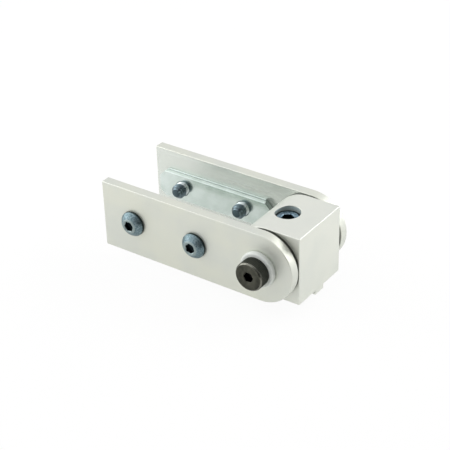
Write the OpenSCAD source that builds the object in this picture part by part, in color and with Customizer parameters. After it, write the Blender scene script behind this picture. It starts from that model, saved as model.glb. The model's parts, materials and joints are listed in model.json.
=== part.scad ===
// Profile hinge for slotted aluminium profile. Two arms swing on a keyed block, each on its own
// shoulder screw, and clamp a profile between them with a pair of screws and a long T-nut apiece.
// Sizes are in millimetres. The origin is the middle of the block's base face, on the axis of its
// fixing screw. +X points out of the block's flat front, +Y to the far arm and +Z up.
// The arms point to -X.

/* [Arms] */
// Distance between the inner faces of the two arms
arm_gap = 41.5; // [38:0.5:60]
// Thickness of each arm
arm_t = 5.5; // [4:0.5:10]
// Height of each arm and of the block, and the diameter of their round ends
arm_h = 39; // [34:1:60]
// Distance between the two screws of one arm
screw_pitch = 40; // [25:1:60]
// Distance from the last screw to the square end of the arm
end_margin = 20; // [18:1:40]
// Size of the bevel along the edges of the arms and the block
edge_bevel = 0.4; // [0.2:0.1:1]

/* [Block] */
// Gap between the block and the inner face of each arm
side_gap = 1.5; // [1:0.1:3]
// Distance from the pivot axis to the block's flat front
block_front = 19.2; // [15:0.1:40]
// Width of the key under the block, which runs in the profile's slot
key_w = 7.8; // [5:0.1:10]
// Depth of the key under the block's base face
key_h = 2.3; // [1:0.1:4]
// Depth of the fixing screw's head below the block's top
head_depth = 3; // [1:0.1:5]

/* [Pivots] */
// Diameter of the shoulder that an arm turns on
shoulder_d = 10; // [8:0.5:12]
// Diameter of the pivot screw's head
pivot_head_d = 16; // [14:0.5:20]
// Height of the pivot screw's head
pivot_head_h = 7; // [5:0.5:10]
// Bevel round the top of the pivot screw's head
pivot_head_bevel = 0.8; // [0.3:0.1:1.5]
// Hexagon key of the pivot screw, across flats
pivot_key_af = 5; // [4:0.5:6]
// Length of the pivot screw's thread in the block
pivot_thread_l = 12; // [8:0.5:13]
// Diameter of the bush's flange on the outside of the arm
bush_flange_d = 20; // [18:0.5:26]
// Thickness of the bush's flange
bush_flange_t = 3; // [1:0.1:5]
// Outer diameter of the bush's sleeve inside the arm
bush_sleeve_d = 14; // [13:0.5:16]
// Outer diameter of the thrust washer between arm and block
washer_d = 20; // [16:0.5:30]
// Bevel round the rims of the bush and on the end of its sleeve
bush_bevel = 0.5; // [0.2:0.1:0.9]
// Length of the relief between the shoulder and its thread
relief_l = 1.5; // [0.5:0.1:3]
// Depth of that relief below the thread's outside
relief_depth = 0.8; // [0.3:0.1:1.2]

/* [Screws] */
// Thread diameter of every screw
screw_d = 8; // [6:0.5:8]
// How much the end of every thread is drawn in, on the radius
tip_bevel = 1.1; // [0.5:0.1:1.5]
// Length over which it is drawn in
tip_l = 1.8; // [0.5:0.1:3]
// Diameter of the button heads on the arms
button_d = 14; // [12:0.5:18]
// Height of the button heads
button_h = 4.4; // [3.5:0.1:6]
// Height of the straight rim under a button head's dome
button_rim = 0.6; // [0.3:0.1:1]
// Radius of the flat on top of a button head
button_flat_r = 3.7; // [3.3:0.1:5]
// Hexagon key of the button heads, across flats
button_key_af = 5; // [3:0.5:5.5]
// Length of the arm screws past their T-nut
arm_screw_proud = 6.2; // [3:0.1:8]
// Diameter of the fixing screw's head in the block
cap_d = 13; // [11:0.5:14]
// Height of the fixing screw's head
cap_h = 8; // [6:0.5:9]
// Bevel round the top of the fixing screw's head
cap_bevel = 0.5; // [0.2:0.1:1]
// Hexagon key of the fixing screw, across flats
cap_key_af = 6; // [4:0.5:7]
// Length of the fixing screw past its T-nut
base_screw_proud = 1; // [0:0.1:3]

/* [T-nuts] */
// Width of a T-nut's flange across the slot
nut_w = 16.4; // [14:0.1:20]
// Thickness of a T-nut's flange
nut_flange_t = 2.4; // [2:0.1:4]
// Width of the rib that stands in the slot's mouth
nut_rib_w = 7.8; // [7:0.1:10]
// Height of the rib above the flange
nut_rib_h = 1.3; // [0.5:0.1:3]
// Distance from the front screw to the front end of a double T-nut
nut_front_end = 18.1; // [12:0.1:20]
// Distance from the rear screw to the rear end of a double T-nut
nut_rear_end = 15.5; // [12:0.1:17]
// Distance from the block's round back to the front end of a double T-nut
nut_clear = 2.4; // [2:0.1:20]
// Length of the block's own T-nut
base_nut_l = 22; // [18:1:34]
// Size of the cut-off corners of a T-nut
nut_corner = 4.1; // [1:0.1:5]
// Bevel along the edges of a T-nut's flange that face away from the slot's mouth
nut_bevel = 0.6; // [0.3:0.1:1]
// Bevel along the edges of a T-nut's flange that face the slot's mouth
nut_lip_bevel = 0.3; // [0.2:0.1:0.8]

/* [Clearances] */
// Radial clearance of the bush and the washer on the shoulder
running_clearance = 0.05; // [0.02:0.01:0.1]
// End play of an arm between the screw's head and the washer, at each side
end_play = 0.1; // [0.05:0.05:0.3]
// Radial clearance of the bush's sleeve in the arm
sleeve_clearance = 0.02; // [0.01:0.01:0.05]
// Radial clearance between a thread and its tapped hole
thread_clearance = 0.05; // [0.02:0.01:0.1]
// Radial clearance of a screw in a plain hole
screw_clearance = 0.4; // [0.2:0.1:0.6]
// Radial clearance of the fixing screw's head in its counterbore
cap_clearance = 0.3; // [0.1:0.1:1]

/* [Hidden] */
$fn = 72;
// Cutters run this far past the faces that they open
overcut = 1;
// Depth of a tapped hole past the end of its screw
tap_run_out = 1.5;
// Share of a head's height that its hexagon socket takes
socket_share = 0.55;
// Half of the angle at the point of a drill
drill_half_angle = 59;

// The pivot axis is level with the middle of the arms
pivot_z = arm_h / 2;
round_r = arm_h / 2;
arm_inner = arm_gap / 2;
arm_outer = arm_inner + arm_t;
block_w = arm_gap - 2 * side_gap;

// The T-nut starts behind the block's round back and sets the place of the screws
first_screw = round_r + nut_clear + nut_front_end;
second_screw = first_screw + screw_pitch;
arm_reach = second_screw + end_margin;
nut_l = nut_front_end + screw_pitch + nut_rear_end;
nut_t = nut_rib_h + nut_flange_t;
nut_middle = round_r + nut_clear + nut_l / 2;

// Each screw is as long as the pieces it holds and what stands out past them
arm_screw_l = arm_t + nut_t + arm_screw_proud;
shoulder_l = side_gap + arm_t + bush_flange_t + end_play;
seat_z = arm_h - head_depth - cap_h;
base_screw_l = seat_z + key_h + nut_t + base_screw_proud;

// The dome of a button head is the sphere through its rim and the edge of its flat
dome_z = (button_d * button_d / 4 + button_rim * button_rim - button_flat_r * button_flat_r
    - button_h * button_h) / (2 * (button_rim - button_h));
dome_r = sqrt(button_d * button_d / 4 + pow(button_rim - dome_z, 2));

alloy = "#d8d9d0";
zinc = "#c3d0c8";
blue_zinc = "#7c8f9b";
black_oxide = "#3d3f3a";
white_plastic = "#e3e7e1";

// Shared outlines and solids

// A rectangle about the origin with its four corners cut off
module bevelled_rectangle(width, height, bevel) {
    x = width / 2;
    y = height / 2;
    polygon([
        [x - bevel, -y], [x, -y + bevel], [x, y - bevel], [x - bevel, y],
        [-x + bevel, y], [-x, y - bevel], [-x, -y + bevel], [-x + bevel, -y]
    ]);
}

// A box about the origin with all twelve edges bevelled
module bevelled_box(size, bevel) {
    intersection() {
        linear_extrude(size[2], center = true)
            bevelled_rectangle(size[0], size[1], bevel);
        rotate([90, 0, 90])
            linear_extrude(size[0], center = true)
                bevelled_rectangle(size[1], size[2], bevel);
        rotate([90, 0, 0])
            linear_extrude(size[1], center = true)
                bevelled_rectangle(size[0], size[2], bevel);
    }
}

// A disc about the Y axis with both rims bevelled
module bevelled_disc(radius, width, bevel) {
    rotate([-90, 0, 0])
        rotate_extrude()
            polygon([
                [0, -width / 2], [radius - bevel, -width / 2], [radius, bevel - width / 2],
                [radius, width / 2 - bevel], [radius - bevel, width / 2], [0, width / 2]
            ]);
}

// A box between two corners
module span(low, high) {
    translate(low)
        cube(high - low);
}

// The far side is drawn, and the near side is its mirror image
module on_near_side() {
    mirror([0, 1, 0])
        children();
}

// Stands a child at a point of the far arm with its own +Z out of the arm
module outwards(x, y) {
    translate([x, y, pivot_z])
        rotate([-90, 0, 0])
            children();
}

// A screw's shank from z = 0 downwards, with its end drawn in
module shank(diameter, length) {
    translate([0, 0, tip_l - length])
        cylinder(d = diameter, h = length - tip_l);
    translate([0, 0, -length])
        cylinder(d1 = diameter - 2 * tip_bevel, d2 = diameter, h = tip_l);
}

// The conical end that a drill leaves, from z = 0 downwards
module drill_point(radius) {
    depth = radius / tan(drill_half_angle);
    translate([0, 0, -depth])
        cylinder(r1 = 0, r2 = radius, h = depth);
}

// A hexagon socket cut into a head from its top, over the drilled hole that it was broached from
module hex_socket(across_flats, head_h) {
    depth = socket_share * head_h;
    translate([0, 0, head_h - depth]) {
        cylinder(d = across_flats / cos(30), h = depth + overcut, $fn = 6);
        drill_point(across_flats / 2);
    }
}

// A round head on z = 0 with a bevelled top
module bevelled_head(diameter, height, bevel) {
    cylinder(d = diameter, h = height - bevel);
    translate([0, 0, height - bevel])
        cylinder(d1 = diameter, d2 = diameter - 2 * bevel, h = bevel);
}

// A domed head on z = 0
module button_head() {
    intersection() {
        cylinder(d = button_d, h = button_h);
        translate([0, 0, dome_z])
            sphere(r = dome_r);
    }
}

// Pieces drawn for the far side

module arm() {
    difference() {
        union() {
            intersection() {
                translate([0, arm_inner + arm_t / 2, pivot_z])
                    bevelled_box([2 * arm_reach, arm_t, arm_h], edge_bevel);
                span([-arm_reach - overcut, arm_inner - overcut, -overcut],
                    [0, arm_outer + overcut, arm_h + overcut]);
            }
            translate([0, arm_inner + arm_t / 2, pivot_z])
                bevelled_disc(round_r, arm_t, edge_bevel);
        }
        outwards(0, arm_inner - overcut)
            cylinder(r = bush_sleeve_d / 2 + sleeve_clearance, h = arm_t + 2 * overcut);
        for (place = [first_screw, second_screw])
            outwards(-place, arm_inner - overcut)
                cylinder(r = screw_d / 2 + screw_clearance, h = arm_t + 2 * overcut);
    }
}

module button_screw(place) {
    outwards(-place, arm_outer)
        union() {
            difference() {
                button_head();
                hex_socket(button_key_af, button_h);
            }
            shank(screw_d, arm_screw_l);
        }
}

module pivot_screw() {
    outwards(0, block_w / 2 + shoulder_l)
        union() {
            difference() {
                bevelled_head(pivot_head_d, pivot_head_h, pivot_head_bevel);
                hex_socket(pivot_key_af, pivot_head_h);
            }
            translate([0, 0, -shoulder_l]) {
                cylinder(d = shoulder_d, h = shoulder_l);
                translate([0, 0, -relief_l])
                    cylinder(d = screw_d - 2 * relief_depth, h = relief_l);
                translate([0, 0, -relief_l])
                    shank(screw_d, pivot_thread_l - relief_l);
            }
        }
}

module flange_bush() {
    difference() {
        union() {
            outwards(0, arm_outer)
                bevelled_head(bush_flange_d, bush_flange_t, bush_bevel);
            outwards(0, arm_inner) {
                cylinder(d1 = bush_sleeve_d - 2 * bush_bevel, d2 = bush_sleeve_d, h = bush_bevel);
                translate([0, 0, bush_bevel])
                    cylinder(d = bush_sleeve_d, h = arm_t - bush_bevel);
            }
        }
        outwards(0, arm_inner - overcut)
            cylinder(r = shoulder_d / 2 + running_clearance,
                h = arm_t + bush_flange_t + 2 * overcut);
    }
}

module thrust_washer() {
    outwards(0, block_w / 2)
        difference() {
            cylinder(d = washer_d, h = side_gap - end_play);
            translate([0, 0, -overcut])
                cylinder(r = shoulder_d / 2 + running_clearance, h = side_gap + 2 * overcut);
        }
}

// A T-nut under z = 0: its rib meets z = 0 and its flange hangs below
module t_nut(length, holes) {
    rib = nut_rib_w / 2;
    edge = nut_w / 2;
    difference() {
        intersection() {
            rotate([90, 0, 90])
                linear_extrude(length, center = true)
                    polygon([
                        [-rib, 0], [-rib, -nut_rib_h], [nut_lip_bevel - edge, -nut_rib_h],
                        [-edge, -nut_rib_h - nut_lip_bevel],
                        [-edge, nut_bevel - nut_t], [nut_bevel - edge, -nut_t],
                        [edge - nut_bevel, -nut_t], [edge, nut_bevel - nut_t],
                        [edge, -nut_rib_h - nut_lip_bevel],
                        [edge - nut_lip_bevel, -nut_rib_h], [rib, -nut_rib_h], [rib, 0]
                    ]);
            translate([0, 0, -nut_t - overcut])
                linear_extrude(nut_t + 2 * overcut)
                    bevelled_rectangle(length, nut_w, nut_corner);
        }
        for (x = holes)
            translate([x, 0, -nut_t - overcut])
                cylinder(r = screw_d / 2 + thread_clearance, h = nut_t + 2 * overcut);
    }
}

module arm_t_nut() {
    outwards(-nut_middle, arm_inner)
        t_nut(nut_l, [nut_middle - first_screw, nut_middle - second_screw]);
}

// The hole in the block's side that a pivot screw is driven into
module tapped_hole() {
    radius = screw_d / 2 + thread_clearance;
    depth = pivot_thread_l + tap_run_out;
    outwards(0, block_w / 2 - depth) {
        cylinder(r = radius, h = depth + overcut);
        drill_point(radius);
    }
}

// Nodes

module pivot_block() {
    color(alloy)
        difference() {
            union() {
                intersection() {
                    translate([(block_front - round_r) / 2, 0, pivot_z])
                        bevelled_box([block_front + round_r, block_w, arm_h], edge_bevel);
                    union() {
                        span([-round_r - overcut, -block_w, -overcut],
                            [block_front + overcut, block_w, pivot_z]);
                        span([0, -block_w, -overcut],
                            [block_front + overcut, block_w, arm_h + overcut]);
                    }
                }
                intersection() {
                    translate([0, 0, pivot_z])
                        bevelled_disc(round_r, block_w, edge_bevel);
                    span([-round_r - overcut, -block_w, pivot_z], [0, block_w, arm_h + overcut]);
                }
                span([-round_r + edge_bevel, -key_w / 2, -key_h],
                    [block_front, key_w / 2, edge_bevel]);
            }
            translate([0, 0, seat_z])
                cylinder(r = cap_d / 2 + cap_clearance, h = cap_h + head_depth + overcut);
            translate([0, 0, -key_h - overcut])
                cylinder(r = screw_d / 2 + screw_clearance, h = seat_z + key_h + 2 * overcut);
            tapped_hole();
            on_near_side()
                tapped_hole();
        }
}

module near_arm() {
    color(alloy)
        on_near_side()
            arm();
}

module far_arm() {
    color(alloy)
        arm();
}

module near_pivot_screw() {
    color(black_oxide)
        on_near_side()
            pivot_screw();
}

module far_pivot_screw() {
    color(black_oxide)
        pivot_screw();
}

module near_flange_bush() {
    color(white_plastic)
        on_near_side()
            flange_bush();
}

module far_flange_bush() {
    color(white_plastic)
        flange_bush();
}

module near_thrust_washer() {
    color(white_plastic)
        on_near_side()
            thrust_washer();
}

module far_thrust_washer() {
    color(white_plastic)
        thrust_washer();
}

module near_front_screw() {
    color(blue_zinc)
        on_near_side()
            button_screw(first_screw);
}

module near_rear_screw() {
    color(blue_zinc)
        on_near_side()
            button_screw(second_screw);
}

module far_front_screw() {
    color(blue_zinc)
        button_screw(first_screw);
}

module far_rear_screw() {
    color(blue_zinc)
        button_screw(second_screw);
}

module near_t_nut() {
    color(zinc)
        on_near_side()
            arm_t_nut();
}

module far_t_nut() {
    color(zinc)
        arm_t_nut();
}

module base_screw() {
    color(blue_zinc)
        translate([0, 0, seat_z])
            union() {
                difference() {
                    bevelled_head(cap_d, cap_h, cap_bevel);
                    hex_socket(cap_key_af, cap_h);
                }
                shank(screw_d, base_screw_l);
            }
}

module base_t_nut() {
    color(zinc)
        translate([0, 0, -key_h])
            t_nut(base_nut_l, [0]);
}

pivot_block();
near_arm();
far_arm();
near_pivot_screw();
far_pivot_screw();
near_flange_bush();
far_flange_bush();
near_thrust_washer();
far_thrust_washer();
near_front_screw();
near_rear_screw();
far_front_screw();
far_rear_screw();
near_t_nut();
far_t_nut();
base_screw();
base_t_nut();
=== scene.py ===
# %% [markdown]
# # A profile hinge
# This hinge joins two lengths of slotted aluminium profile at any angle. A keyed block is screwed onto one
# profile. Two flat arms swing on the block and clamp the other profile between them with screws and long
# T-nuts. The solids, joints and sizes come from a packed CAD model, which is loaded first and never moved.
# Everything below is built round it, in metres and in its frame: X along the key, Y along the pivot, Z up.

# %% Load the frame
import json
import math

import bmesh
import bpy
from mathutils import Matrix, Vector


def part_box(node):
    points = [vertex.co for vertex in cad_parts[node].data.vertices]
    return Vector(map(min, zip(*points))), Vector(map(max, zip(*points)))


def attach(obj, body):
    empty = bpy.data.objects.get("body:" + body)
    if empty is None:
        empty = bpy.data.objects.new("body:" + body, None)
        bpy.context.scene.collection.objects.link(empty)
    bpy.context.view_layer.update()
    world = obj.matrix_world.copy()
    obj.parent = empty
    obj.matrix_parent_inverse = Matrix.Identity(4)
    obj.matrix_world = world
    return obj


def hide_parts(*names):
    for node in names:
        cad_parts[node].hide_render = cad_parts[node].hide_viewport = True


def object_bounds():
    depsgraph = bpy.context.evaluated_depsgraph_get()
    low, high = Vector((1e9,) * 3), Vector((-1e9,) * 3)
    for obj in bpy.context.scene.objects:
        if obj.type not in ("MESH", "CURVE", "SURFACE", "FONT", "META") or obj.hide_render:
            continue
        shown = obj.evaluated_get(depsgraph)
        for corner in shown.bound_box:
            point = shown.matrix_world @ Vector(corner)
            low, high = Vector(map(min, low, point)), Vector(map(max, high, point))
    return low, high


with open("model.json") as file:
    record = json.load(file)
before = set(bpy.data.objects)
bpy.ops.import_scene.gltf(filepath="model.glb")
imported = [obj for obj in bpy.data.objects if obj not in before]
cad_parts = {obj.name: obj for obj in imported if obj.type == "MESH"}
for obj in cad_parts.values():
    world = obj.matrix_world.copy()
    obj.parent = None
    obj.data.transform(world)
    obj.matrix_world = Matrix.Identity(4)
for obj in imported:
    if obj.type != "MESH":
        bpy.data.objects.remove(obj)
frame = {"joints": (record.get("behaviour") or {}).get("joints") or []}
cad_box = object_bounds()
scene = bpy.context.scene
mm = 0.001

# %% [markdown]
# ## The camera
# The camera comes first, because every later choice is judged through it. A product photograph like this is
# taken from some way off with a long lens, so the edges hardly converge. The angles below were found by
# matching the corners of the arms and the block. The lens is written as a focal length in pixels of the
# square frame, which is what such a match gives, and turned into millimetres of a 36 mm sensor.

# %% Camera
frame_side_pixels = 450
focal_pixels = 1319.9
azimuth = math.radians(35.98)
elevation = math.radians(31.40)
roll = math.radians(-1.73)
camera_distance = 690.9 * mm
camera_aim = Vector((-30 * mm, 0, 19.5 * mm))
slide_right = -7.65 * mm
slide_up = 1.59 * mm

towards_camera = Vector((
    math.sin(azimuth) * math.cos(elevation),
    -math.cos(azimuth) * math.cos(elevation),
    math.sin(elevation),
))
level_right = Vector((math.cos(azimuth), math.sin(azimuth), 0))
leaning = Matrix.Rotation(roll, 3, towards_camera)
camera_right = leaning @ level_right
camera_up = leaning @ towards_camera.cross(level_right)

lens = bpy.data.cameras.new("long_lens")
lens.sensor_width = 36
lens.lens = lens.sensor_width * focal_pixels / frame_side_pixels
camera = bpy.data.objects.new("camera", lens)
scene.collection.objects.link(camera)
stand_point = camera_aim + towards_camera * camera_distance
stand_point += camera_right * slide_right + camera_up * slide_up
turned_to_view = Matrix((camera_right, camera_up, towards_camera)).transposed()
camera.matrix_world = Matrix.Translation(stand_point) @ turned_to_view.to_4x4()
scene.camera = camera
scene.view_settings.view_transform = "Standard"
print("lens", round(lens.lens, 1), "mm")

# %% [markdown]
# ## Shader maths as arithmetic
# A finish is a small calculation: so much gloss, a little less on the edges, a speckle on top. Wiring that
# by hand takes dozens of Math nodes and hides the idea. Here a `Wire` stands for a socket, and adding or
# multiplying wires adds the Math nodes. A `Bench` holds the tree and makes every other kind of node with
# one method: its type, its settings, then the values or wires that go into its sockets.

# %% Wire
def pick(sockets, key):
    """The socket at an index, or the first one in use that has this name."""
    if isinstance(key, int):
        return sockets[key]
    return next(socket for socket in sockets if socket.enabled and socket.name == key)


class Wire:
    """An output socket. Arithmetic on wires adds Math nodes, and wire["Name"] is a sibling output."""

    def __init__(self, bench, socket):
        self.bench = bench
        self.socket = socket

    def __getitem__(self, name):
        return Wire(self.bench, pick(self.socket.node.outputs, name))

    def __add__(self, other):
        return self.bench.math("ADD", self, other)

    def __sub__(self, other):
        return self.bench.math("SUBTRACT", self, other)

    def __rsub__(self, other):
        return self.bench.math("SUBTRACT", other, self)

    def __mul__(self, other):
        return self.bench.math("MULTIPLY", self, other)

    def __truediv__(self, other):
        return self.bench.math("DIVIDE", self, other)

    def __lt__(self, other):
        return self.bench.math("LESS_THAN", self, other)

    __radd__ = __add__
    __rmul__ = __mul__


print("arithmetic on wires: + - * / <")


# %% Bench
class Bench:
    """A node tree being wired up."""

    def __init__(self, tree):
        self.tree = tree
        tree.nodes.clear()

    def node(self, kind, settings=None, values=None):
        """Adds a node, sets its settings, then its sockets, and gives its first output that is in use.
        A text that starts with # is a colour code."""
        node = self.tree.nodes.new(kind)
        for name, setting in (settings or {}).items():
            setattr(node, name, setting)
        for key, value in (values or {}).items():
            socket = pick(node.inputs, key)
            if isinstance(value, Wire):
                self.tree.links.new(value.socket, socket)
            else:
                socket.default_value = tint(value) if str(value).startswith("#") else value
        outputs = [socket for socket in node.outputs if socket.enabled]
        return Wire(self, outputs[0]) if outputs else None

    def place(self):
        """A point's place on the piece, in metres."""
        return self.node("ShaderNodeTexCoord")["Object"]

    def axes(self, vector):
        """A vector taken apart: axes["X"] and so on."""
        return self.node("ShaderNodeSeparateXYZ", None, {"Vector": vector})

    def vector(self, **axes):
        return self.node("ShaderNodeCombineXYZ", None, axes)

    def math(self, operation, *values):
        return self.node("ShaderNodeMath", {"operation": operation}, dict(enumerate(values)))

    def blend(self, share, first, second):
        """A colour between two colours."""
        return self.node("ShaderNodeMix", {"data_type": "RGBA"}, {"Factor": share, "A": first, "B": second})

    def layers(self, colour, *coats):
        """Lays colours over a colour, each by a share from 0 to 1."""
        for share, code in coats:
            colour = self.blend(share, colour, code)
        return colour

    def between(self, value, low, high):
        """0 below low, 1 above high and smooth in between."""
        limits = {"Value": value, "From Min": low, "From Max": high}
        return self.node("ShaderNodeMapRange", {"interpolation_type": "SMOOTHSTEP"}, limits)

    def noise(self, vector, scale, detail=2.0):
        return self.node("ShaderNodeTexNoise", None, {"Vector": vector, "Scale": scale, "Detail": detail})

    def mask(self, name):
        """A piece's own attribute, 0 to 1 over its faces."""
        return self.node("ShaderNodeAttribute", {"attribute_name": name})["Fac"]

    def bump(self, height, depth, strength=1.0):
        return self.node("ShaderNodeBump", None, {"Height": height, "Distance": depth, "Strength": strength})


print("a bench makes:", [name for name in vars(Bench) if not name.startswith("_")])


# %% Colours and surfaces
def tint(code):
    """A colour as it looks on a screen, such as #d6d6cc, as the linear colour that Blender uses."""
    channels = [int(code[place:place + 2], 16) / 255 for place in (1, 3, 5)]
    linear = [c / 12.92 if c <= 0.04045 else ((c + 0.055) / 1.055) ** 2.4 for c in channels]
    return (*linear, 1)


def new_finish(name):
    """A bench for an empty material."""
    material = bpy.data.materials.new(name)
    material.use_nodes = True
    bench = Bench(material.node_tree)
    bench.material = material
    return bench


def finished(bench, shader):
    """Ends a finish with a shader and gives the material."""
    bench.node("ShaderNodeOutputMaterial", None, {"Surface": shader})
    return bench.material


def surface(bench, **sockets):
    """Ends a finish with the Principled shader. Names are its sockets, with _ for a space."""
    values = {name.replace("_", " "): value for name, value in sockets.items()}
    return finished(bench, bench.node("ShaderNodeBsdfPrincipled", None, values))


print("white paper in linear light:", [round(channel, 3) for channel in tint("#f5f5f2")])

# %% [markdown]
# ## The floor
# The photograph has a clean white ground and soft light with no hard edge anywhere, as in a light tent.
# Metal shows mostly what it mirrors, so the surroundings matter more than the power of any lamp. The floor
# is white paper, a hair under the lowest CAD point, so that no face of the hinge lies in it. It keeps the
# hinge's shadow, and glows a little for the camera and for mirrored rays, so that the ground comes out
# white without more light on the metal.

# %% Floor
floor_half = 3.0
floor_gap = 0.05 * mm
floor_z = cad_box[0].z - floor_gap
floor_mesh = bpy.data.meshes.new("floor")
floor_corners = [(-1, -1), (1, -1), (1, 1), (-1, 1)]
floor_points = [(x * floor_half, y * floor_half, floor_z) for x, y in floor_corners]
floor_mesh.from_pydata(floor_points, [], [range(4)])
floor = bpy.data.objects.new("floor", floor_mesh)
scene.collection.objects.link(floor)

ground_white = 0.94
mirrored_white = 0.52
bench = new_finish("white_paper")
path = bench.node("ShaderNodeLightPath")
mirrored = bench.math("MAXIMUM", path["Is Glossy Ray"], path["Is Transmission Ray"])
glow_share = bench.math("MAXIMUM", path["Is Camera Ray"] * ground_white, mirrored * mirrored_white)
matt = bench.node("ShaderNodeBsdfDiffuse", None, {"Color": "#f5f5f2"})
glow = bench.node("ShaderNodeEmission", None, {"Color": "#ffffff", "Strength": 1.0})
mixed = bench.node("ShaderNodeMixShader", None, {0: glow_share, 1: matt, 2: glow})
floor_mesh.materials.append(finished(bench, mixed))
print("floor at", round(floor_z / mm, 2), "mm")

# %% [markdown]
# ## A tent with an opening
# A tent that is white all round makes metal look like grey plastic, because every facet mirrors the same
# white. A real one is brighter where the main lamp stands behind the cloth, here at the front left, and has
# an opening on the side of the photographer. That darker patch of room is what models the screw heads and
# the black pivot screw. So the sky is a white background whose strength follows the angle to those two
# directions.

# %% Sky
tent_level = 0.77
lit_level = 1.35
opening_level = 0.2
towards_opening = Vector((0.72, -0.60, 0.36)).normalized()
opening_degrees = (30, 56)
opening_heights = (0.12, 0.25)
towards_lamp = Vector((-0.58, -0.70, 0.42)).normalized()
lit_degrees = (20, 65)
sky = bpy.data.worlds.new("light_tent")
sky.use_nodes = True
bench = Bench(sky.node_tree)
way = bench.node("ShaderNodeTexCoord")["Generated"]
height = bench.axes(way)["Z"]


def patch_of_sky(towards, inside, outside):
    """1 within so many degrees of a direction, 0 outside a wider angle and smooth in between."""
    facing = bench.node("ShaderNodeVectorMath", {"operation": "DOT_PRODUCT"}, {0: way, 1: towards})
    return bench.between(facing, math.cos(math.radians(outside)), math.cos(math.radians(inside)))


opening = patch_of_sky(towards_opening, *opening_degrees) * bench.between(height, *opening_heights)
cloth = tent_level + (lit_level - tent_level) * patch_of_sky(towards_lamp, *lit_degrees)
backdrop = bench.node("ShaderNodeBackground", None, {
    "Color": "#fdfdff",
    "Strength": cloth - (cloth - opening_level) * opening,
})
bench.node("ShaderNodeOutputWorld", None, {"Surface": backdrop})
scene.world = sky
print("tent level", tent_level, "lit", lit_level, "opening", opening_level)

# %% [markdown]
# ## Lamps behind cloth
# Panels of cloth with lamps behind them give the bright lines: one on the left for the bevels and domes,
# one at the back on the right for the round end of the arm, and a weak one overhead for the floor. Area
# lamps are used, because they show in metal as the soft squares that such panels are. Each is written as a
# brightness, at which white paper would look white, and its power follows from its area.

# %% Lamps behind cloth
def softbox(name, place, width, brightness):
    """A square lamp that faces the hinge. Its brightness is 1 where it would look just white."""
    lamp = bpy.data.lights.new(name, "AREA")
    lamp.size = width
    lamp.energy = brightness * math.pi * width ** 2
    holder = bpy.data.objects.new(name, lamp)
    holder.location = place
    holder.rotation_euler = (Vector(place) - camera_aim).to_track_quat("Z", "Y").to_euler()
    holder.visible_camera = False
    scene.collection.objects.link(holder)


softbox("left_panel", place=(-0.55, -0.14, 0.24), width=0.43, brightness=1.8)
softbox("back_right_panel", place=(0.61, 0.78, 0.57), width=1.0, brightness=2.9)
softbox("overhead_panel", place=(-0.10, -0.10, 1.15), width=0.8, brightness=0.2)
print("lamps:", [light.name for light in bpy.data.lights])

# %% [markdown]
# ## A black card
# In a studio, light is also taken away. A black card stands on the right, out of the camera's sight, and
# gives the ring and the domes a dark side. One upright sheet of matt black is enough.

# %% Black card
card_ends = [(0.25, -0.05), (0.05, -0.25)]
card_h = 0.12
card_mesh = bpy.data.meshes.new("black_card")
card_low = [(x, y, floor_z) for x, y in card_ends]
card_high = [(x, y, floor_z + card_h) for x, y in card_ends[::-1]]
card_mesh.from_pydata(card_low + card_high, [], [range(4)])
card = bpy.data.objects.new("black_card", card_mesh)
card.visible_camera = False
scene.collection.objects.link(card)
bench = new_finish("black_paper")
matt = bench.node("ShaderNodeBsdfDiffuse", None, {"Color": "#181818"})
card_mesh.materials.append(finished(bench, matt))
print("black card", card_h, "m tall")

# %% [markdown]
# ## Satin anodised aluminium
# The arms and the block are cut from drawn flat stock, lightly blasted and clear anodised. Close up that is
# a warm grey metal with faint lines along the drawing direction and a fine grit. Noise stretched along X
# gives the lines and a very fine noise gives the grit. Masks on the pieces set apart the rounded edges,
# which are a touch brighter, the cut sides, and the inner faces of the arms, which are smoother and painted
# paler and bluer as a painted lift of light. The block also has cutter marks in its counterbore, painted
# shade on the bore wall in the gap round the fixing screw, and a painted shadow ring on its sides round the
# pivot, where the round ends of the arms stand close.

# %% Anodised finish
drawn_scale = (25, 2200, 2200)
cutter_reach = 7 * mm
cutter_feed = 0.35 * mm
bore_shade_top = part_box("base_screw")[1].z - 0.3 * mm
bore_shade_fade = 0.4 * mm
pivot_z = frame["joints"][0]["pos_m"][2]
side_shade_inside = 17.6 * mm
side_shade_outside = 19.3 * mm
side_shade_fade = 0.6 * mm


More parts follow.
